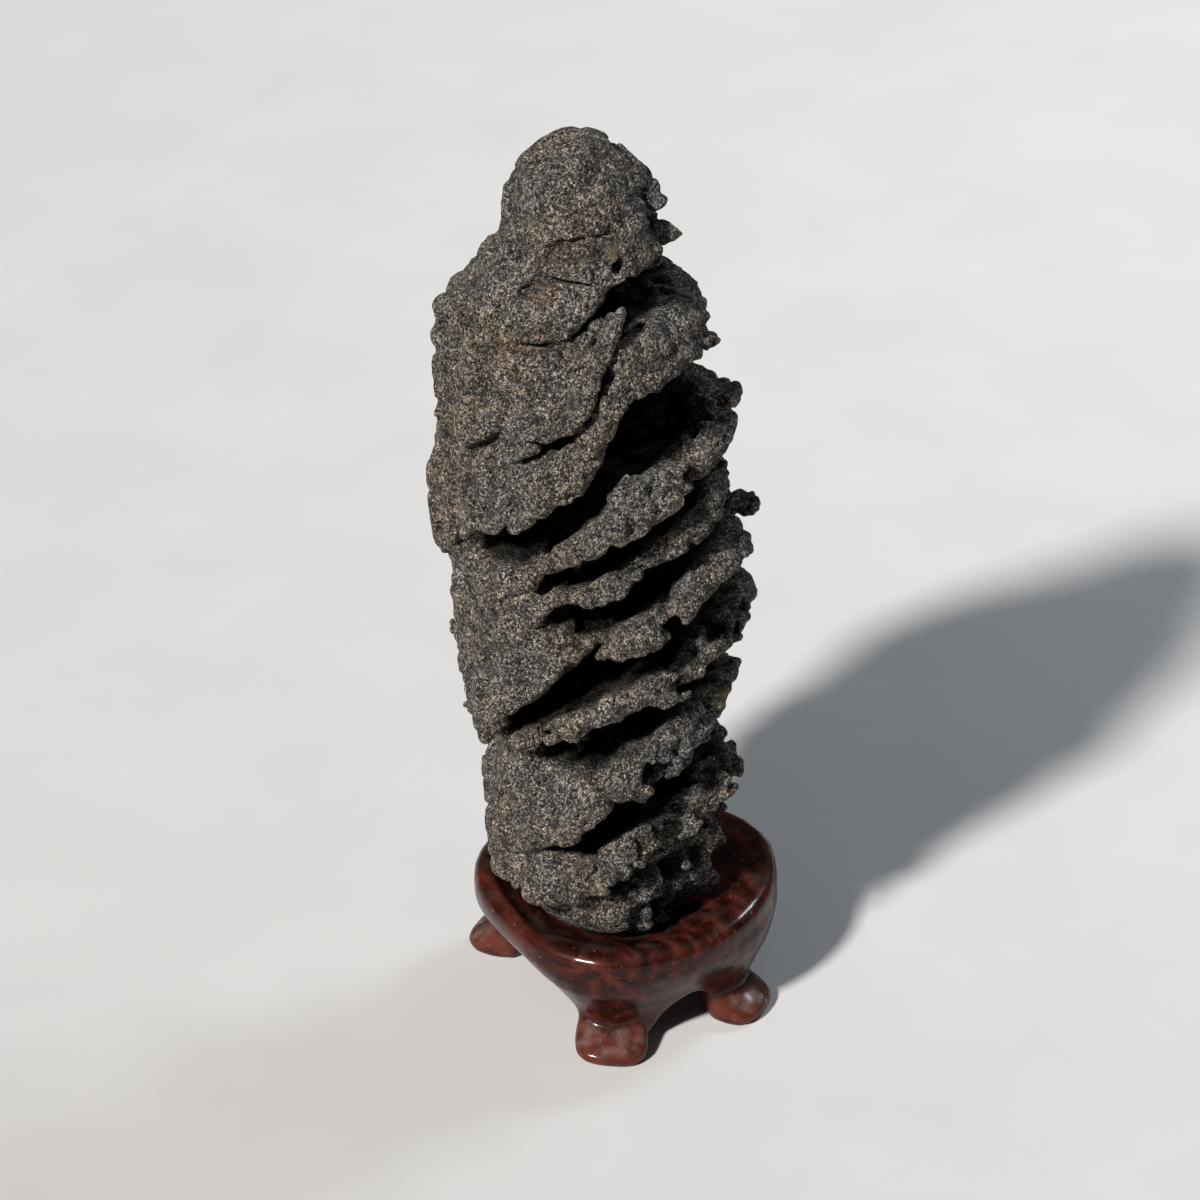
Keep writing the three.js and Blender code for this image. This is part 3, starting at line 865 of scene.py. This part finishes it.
# %% [markdown]
# ## Shared effects: grains, dust and patches
#
# Grains are small cells, each with a tone of its own and a rounded top. The stone uses them for its
# crystals, and the wood for its pores. Dust settles where a surface looks up, thicker in some places than
# in others. Patches are large soft-edged areas, for staining, polish and wear.

# %% Make the shared effects
grains, grains_in, grains_out = effect_group("Grains", {"Size": 0.5, "Stretch": 1}, ["Tone", "Top"])
stretch = put(grains, "ShaderNodeCombineXYZ", {"X": 1, "Y": grains_in["Stretch"], "Z": 1}).outputs[0]
drawn_out = put(grains, "ShaderNodeVectorMath", {0: object_places(grains), 1: stretch}, operation="DIVIDE")
fineness = maths(grains, "DIVIDE", 1 / MM, grains_in["Size"])
cells = put(grains, "ShaderNodeTexVoronoi", {"Vector": drawn_out.outputs[0], "Scale": fineness})
cell_colour = put(grains, "ShaderNodeSeparateColor", {"Color": cells.outputs["Color"]})
grains.links.new(cell_colour.outputs[0], grains_out["Tone"])
grains.links.new(maths(grains, "SUBTRACT", 1, cells.outputs["Distance"]), grains_out["Top"])

dust, dust_in, dust_out = effect_group("Settled dust", {"Amount": 0.5, "Patch": 5}, ["Mask"])
facing = put(dust, "ShaderNodeNewGeometry").outputs["Normal"]
facing_up = put(dust, "ShaderNodeSeparateXYZ", {"Vector": facing}).outputs["Z"]
cloud_scale = maths(dust, "DIVIDE", 1 / MM, dust_in["Patch"])
cloud_inputs = {"Vector": object_places(dust), "Scale": cloud_scale, "Detail": 6}
cloud = put(dust, "ShaderNodeTexNoise", cloud_inputs).outputs[0]
lying = maths(dust, "MULTIPLY", step(dust, facing_up, 0.1, 0.9), step(dust, cloud, 0.4, 0.75))
dust.links.new(maths(dust, "MULTIPLY", lying, dust_in["Amount"]), dust_out["Mask"])

patches, patches_in, patches_out = effect_group("Patches", {"Size": 8, "Share": 0.5, "Edge": 0.1}, ["Mask"])
patch_scale = maths(patches, "DIVIDE", 1 / MM, patches_in["Size"])
patch_inputs = {"Vector": object_places(patches), "Scale": patch_scale, "Detail": 4}
patch_cloud = put(patches, "ShaderNodeTexNoise", patch_inputs)
level = maths(patches, "SUBTRACT", 1, patches_in["Share"])
patch_low = maths(patches, "SUBTRACT", level, patches_in["Edge"])
patch_high = maths(patches, "ADD", level, patches_in["Edge"])
patches.links.new(step(patches, patch_cloud.outputs[0], patch_low, patch_high), patches_out["Mask"])
print("Shared effects:", [group.name for group in bpy.data.node_groups])

# %% [markdown]
# ## The stone's finish
#
# Seen close, the stone is salt and pepper: grains of black, grey-brown and tan, a sixth to a third of a
# millimetre wide. It is warmer on the weathered skin and cooler on the broken side. The rims get a painted
# bluish-grey highlight, and the hollows painted shade, nearly black. An image texture would carry this
# easily, but grains from nodes stay sharp at any size.

# %% Make the stone's finish
def stone_finish():
    """Grains under blotches, warm and cool patches, painted rim highlights and hollow shade, stains, lichen,
    dust.
    """
    material, tree, surface = finish_tree("weathered_stone")
    place = object_places(tree)
    fine = use_group(tree, grains, Size=0.17)
    coarse = use_group(tree, grains, Size=0.34)
    halves = [maths(tree, "MULTIPLY", size["Tone"], 0.5) for size in (fine, coarse)]
    blotch = tones(tree, noise(tree, place, 2.4, 5), [(0.34, (0.5, 0.51, 0.53)), (0.64, (1.25, 1.23, 1.2))])
    colour = tones(tree, maths(tree, "ADD", *halves), [
        (0.16, (0.008, 0.0075, 0.0075)),
        (0.36, (0.044, 0.041, 0.040)),
        (0.54, (0.126, 0.117, 0.110)),
        (0.70, (0.262, 0.240, 0.219)),
        (0.86, (0.540, 0.490, 0.420)),
    ])
    colour = mixed(tree, 1.0, colour, blotch, "MULTIPLY")
    warm = use_group(tree, patches, Size=9, Share=0.5, Edge=0.12)["Mask"]
    colour = mixed(tree, maths(tree, "MULTIPLY", warm, 0.8), colour, (1.14, 1.0, 0.85, 1), "MULTIPLY")
    cool = maths(tree, "MULTIPLY", painted(tree, "broken"), 0.7)
    colour = mixed(tree, cool, colour, (0.80, 0.84, 0.90, 1), "MULTIPLY")
    # Painted highlight: the proud rims of the lips are painted a pale bluish grey.
    uneven = step(tree, noise(tree, place, 0.8), 0.3, 0.7)
    rim_wear_and_sheen = maths(tree, "MULTIPLY", step(tree, painted(tree, "rim"), 0.3, 1.0), uneven)
    colour = mixed(tree, rim_wear_and_sheen, colour, (1.7, 1.75, 1.85, 1), "MULTIPLY")
    # Painted shade: the hollows and pits are painted nearly black.
    hollow_shade = maths(tree, "MULTIPLY", painted(tree, "hollow"), 0.95)
    colour = mixed(tree, hollow_shade, colour, (0.004, 0.004, 0.004, 1))
    rusty = maths(tree, "MULTIPLY", painted(tree, "stain"), step(tree, noise(tree, place, 0.6), 0.4, 0.6))
    colour = mixed(tree, maths(tree, "MULTIPLY", rusty, 0.6), colour, (0.21, 0.110, 0.040, 1))
    grown = maths(tree, "MULTIPLY", painted(tree, "lichen"), 0.8)
    colour = mixed(tree, grown, colour, (0.26, 0.205, 0.095, 1))
    settled = use_group(tree, dust, Amount=0.12, Patch=3)["Mask"]
    colour = mixed(tree, settled, colour, (0.30, 0.28, 0.25, 1))
    tree.links.new(colour, surface.inputs["Base Color"])
    surface.inputs["Roughness"].default_value = 0.92
    # The painted shade also takes the shine off the hollows.
    open_stone = maths(tree, "SUBTRACT", 1, painted(tree, "hollow"))
    tree.links.new(maths(tree, "MULTIPLY", open_stone, 0.3), surface.inputs["Specular IOR Level"])
    relief = maths(tree, "ADD", fine["Top"], maths(tree, "MULTIPLY", coarse["Top"], 1.5))
    relief = maths(tree, "ADD", relief, maths(tree, "MULTIPLY", noise(tree, place, 0.8, 5), 3.5))
    bump = put(tree, "ShaderNodeBump", {"Height": relief, "Strength": 1.0, "Distance": 0.28 * MM})
    tree.links.new(bump.outputs[0], surface.inputs["Normal"])
    return material


rock.data.materials.clear()
rock.data.materials.append(stone_finish())
print("Stone finish has", len(rock.data.materials[0].node_tree.nodes), "nodes")

# %% [markdown]
# ## The stand's finish
#
# Rosewood is red-brown with darker streaks along the grain and short pale pores. It is stained dark and
# waxed to a deep shine. Years of handling have rubbed the toes and some edges through to a brighter red,
# and dust lies on the toes. A low roughness alone could give the shine, but a clear coat over a duller
# wood is how wax works, and it keeps the highlights crisp.

# %% Make the stand's finish
def wood_finish():
    """Streaks under dark patches, wear, pores, painted shade in the hollows and dust, with a coat of wax over
    all.
    """
    material, tree, surface = finish_tree("polished_rosewood")
    place = object_places(tree)
    along_grain = put(tree, "ShaderNodeMapping", {"Vector": place, "Scale": (1, 0.12, 1)}).outputs[0]
    streaks = noise(tree, along_grain, 1.6, 5)
    colour = tones(tree, streaks, [
        (0.34, (0.008, 0.0019, 0.0015)),
        (0.50, (0.030, 0.0058, 0.0034)),
        (0.65, (0.085, 0.0155, 0.0085)),
    ])
    dark = use_group(tree, patches, Size=9, Share=0.36, Edge=0.1)["Mask"]
    colour = mixed(tree, maths(tree, "MULTIPLY", dark, 0.6), colour, (0.014, 0.004, 0.003, 1))
    height = put(tree, "ShaderNodeSeparateXYZ", {"Vector": place}).outputs["Z"]
    low = maths(tree, "SUBTRACT", 1, step(tree, height, 2.0 * MM, 7.0 * MM))
    # On the stand the rims are only worn: rubbed edges turn a brighter red.
    rim_wear_and_sheen = maths(tree, "MULTIPLY", step(tree, painted(tree, "rim"), 0.4, 1.0), 0.35)
    handled = maths(tree, "MAXIMUM", low, rim_wear_and_sheen)
    worn = maths(tree, "MULTIPLY", handled, use_group(tree, patches, Size=4, Share=0.5, Edge=0.15)["Mask"])
    colour = mixed(tree, maths(tree, "MULTIPLY", worn, 0.6), colour, (0.15, 0.034, 0.019, 1))
    pores = use_group(tree, grains, Size=0.5, Stretch=2.5)
    few = step(tree, pores["Tone"], 0.88, 0.94)
    pale = maths(tree, "MULTIPLY", few, step(tree, pores["Top"], 0.66, 0.82))
    colour = mixed(tree, maths(tree, "MULTIPLY", pale, 0.4), colour, (0.30, 0.13, 0.085, 1))
    # Painted shade: the bowl and other hollows of the stand are painted darker.
    recess_shade = maths(tree, "MULTIPLY", painted(tree, "hollow"), 0.7)
    colour = mixed(tree, recess_shade, colour, (0.006, 0.002, 0.0015, 1))
    settled = use_group(tree, dust, Amount=0.05, Patch=2.5)["Mask"]
    colour = mixed(tree, settled, colour, (0.42, 0.36, 0.32, 1))
    on_toes = maths(tree, "MULTIPLY", use_group(tree, dust, Amount=0.2, Patch=2.2)["Mask"], low)
    colour = mixed(tree, on_toes, colour, (0.48, 0.40, 0.36, 1))
    tree.links.new(colour, surface.inputs["Base Color"])
    tree.links.new(maths(tree, "ADD", 0.34, maths(tree, "MULTIPLY", worn, 0.22)), surface.inputs["Roughness"])
    surface.inputs["Specular IOR Level"].default_value = 0.06
    surface.inputs["Coat Weight"].default_value = 0.4
    surface.inputs["Coat Roughness"].default_value = 0.14
    relief = maths(tree, "ADD", streaks, maths(tree, "MULTIPLY", pale, -0.6))
    bump = put(tree, "ShaderNodeBump", {"Height": relief, "Strength": 0.35, "Distance": 0.12 * MM})
    tree.links.new(bump.outputs[0], surface.inputs["Normal"])
    return material


stand.data.materials.clear()
stand.data.materials.append(wood_finish())
print("Wood finish has", len(stand.data.materials[0].node_tree.nodes), "nodes")

# %% [markdown]
# ## The fibres' finish
#
# Dust fibres are pale and dull, and no two are quite the same grey. The Principled Hair BSDF is made for
# strands with the light behind them. For short dull threads a plain rough surface does as well.

# %% Make the fibres' finish
fibre_material, fibre_tree, fibre_surface = finish_tree("dust_fibre")
fluff = tones(fibre_tree, noise(fibre_tree, object_places(fibre_tree), 0.6), [
    (0.35, (0.16, 0.14, 0.13)),
    (0.65, (0.42, 0.38, 0.36)),
])
fibre_tree.links.new(fluff, fibre_surface.inputs["Base Color"])
fibre_surface.inputs["Roughness"].default_value = 0.9
fibres.data.materials.clear()
fibres.data.materials.append(fibre_material)
print("Fibre finish has", len(fibre_tree.nodes), "nodes")

# %% [markdown]
# ## Floor and light
#
# The piece stands on a plain pale floor. A key light at the front left rakes across the skin and leaves
# the hollows black. It is a sun, so that the floor is evenly bright, and a wide one, so that the shadow
# softens with distance. A large soft panel overhead and a dim sky lift the shadow on the floor without
# lighting the undersides. A small cool window behind, to the right, puts a streak of shine on the stand's
# rim and a pale edge on the lips.

# %% Make the floor
FLOOR_HALF = 3.0

floor_mesh = bpy.data.meshes.new("floor")
corners = [(x * FLOOR_HALF, y * FLOOR_HALF, 0) for x, y in ((-1, -1), (1, -1), (1, 1), (-1, 1))]
floor_mesh.from_pydata(corners, [], [(0, 1, 2, 3)])
floor = bpy.data.objects.new("floor", floor_mesh)
bpy.context.scene.collection.objects.link(floor)
floor_material, floor_tree, floor_surface = finish_tree("pale_floor")
cloudy = tones(floor_tree, noise(floor_tree, object_places(floor_tree), 30, 6), [
    (0.3, (0.685, 0.68, 0.675)),
    (0.7, (0.725, 0.72, 0.715)),
])
floor_tree.links.new(cloudy, floor_surface.inputs["Base Color"])
floor_surface.inputs["Roughness"].default_value = 0.85
floor_mesh.materials.append(floor_material)
print("Floor:", 2 * FLOOR_HALF, "m wide")

# %% Set the lights
KEY_FROM = (-0.66, -0.75, 0.8)
KEY_WIDTH = math.radians(6)
KEY_STRENGTH = 4.2
KEY_COLOUR = (1.0, 0.97, 0.93)
PANEL_HEIGHT = 1.2
PANEL_SIZE = 1.6
PANEL_POWER = 1.0
WINDOW_FROM = (0.54, 0.46, 0.66)
WINDOW_DISTANCE = 0.7
WINDOW_WIDTH = 0.16
WINDOW_HEIGHT = 0.08
WINDOW_POWER = 1.2
WINDOW_COLOUR = (0.82, 0.91, 1.0)
SKY_COLOUR = (0.86, 0.90, 1.0, 1)
SKY_STRENGTH = 0.03


def from_camera_side(across, away, up):
    """A direction given as the camera sees it, to the right, away and up, in the shared frame."""
    return Vector((
        across * math.cos(VIEW_TURN) - away * math.sin(VIEW_TURN),
        across * math.sin(VIEW_TURN) + away * math.cos(VIEW_TURN),
        up,
    )).normalized()


def add_light(name, kind, location, towards, **settings):
    """Adds a light that points in a direction."""
    data = bpy.data.lights.new(name, kind)
    for label, value in settings.items():
        setattr(data, label, value)
    light = bpy.data.objects.new(name, data)
    light.location = location
    light.rotation_euler = towards.to_track_quat("-Z", "Y").to_euler()
    bpy.context.scene.collection.objects.link(light)


key_from = from_camera_side(*KEY_FROM)
add_light("key", "SUN", key_from, -key_from, energy=KEY_STRENGTH, angle=KEY_WIDTH, color=KEY_COLOUR)
overhead = Vector((0, 0, PANEL_HEIGHT))
add_light("panel", "AREA", overhead, -overhead, energy=PANEL_POWER, size=PANEL_SIZE)
window = from_camera_side(*WINDOW_FROM) * WINDOW_DISTANCE
pane = {"shape": "RECTANGLE", "size": WINDOW_WIDTH, "size_y": WINDOW_HEIGHT, "color": WINDOW_COLOUR}
add_light("window", "AREA", window, -window, energy=WINDOW_POWER, **pane)

sky = bpy.data.worlds.new("sky")
sky.use_nodes = True
sky.node_tree.nodes["Background"].inputs["Color"].default_value = SKY_COLOUR
sky.node_tree.nodes["Background"].inputs["Strength"].default_value = SKY_STRENGTH
bpy.context.scene.world = sky
bpy.context.scene.view_settings.view_transform = "Standard"
print("Lights:", [light.name for light in bpy.data.lights])
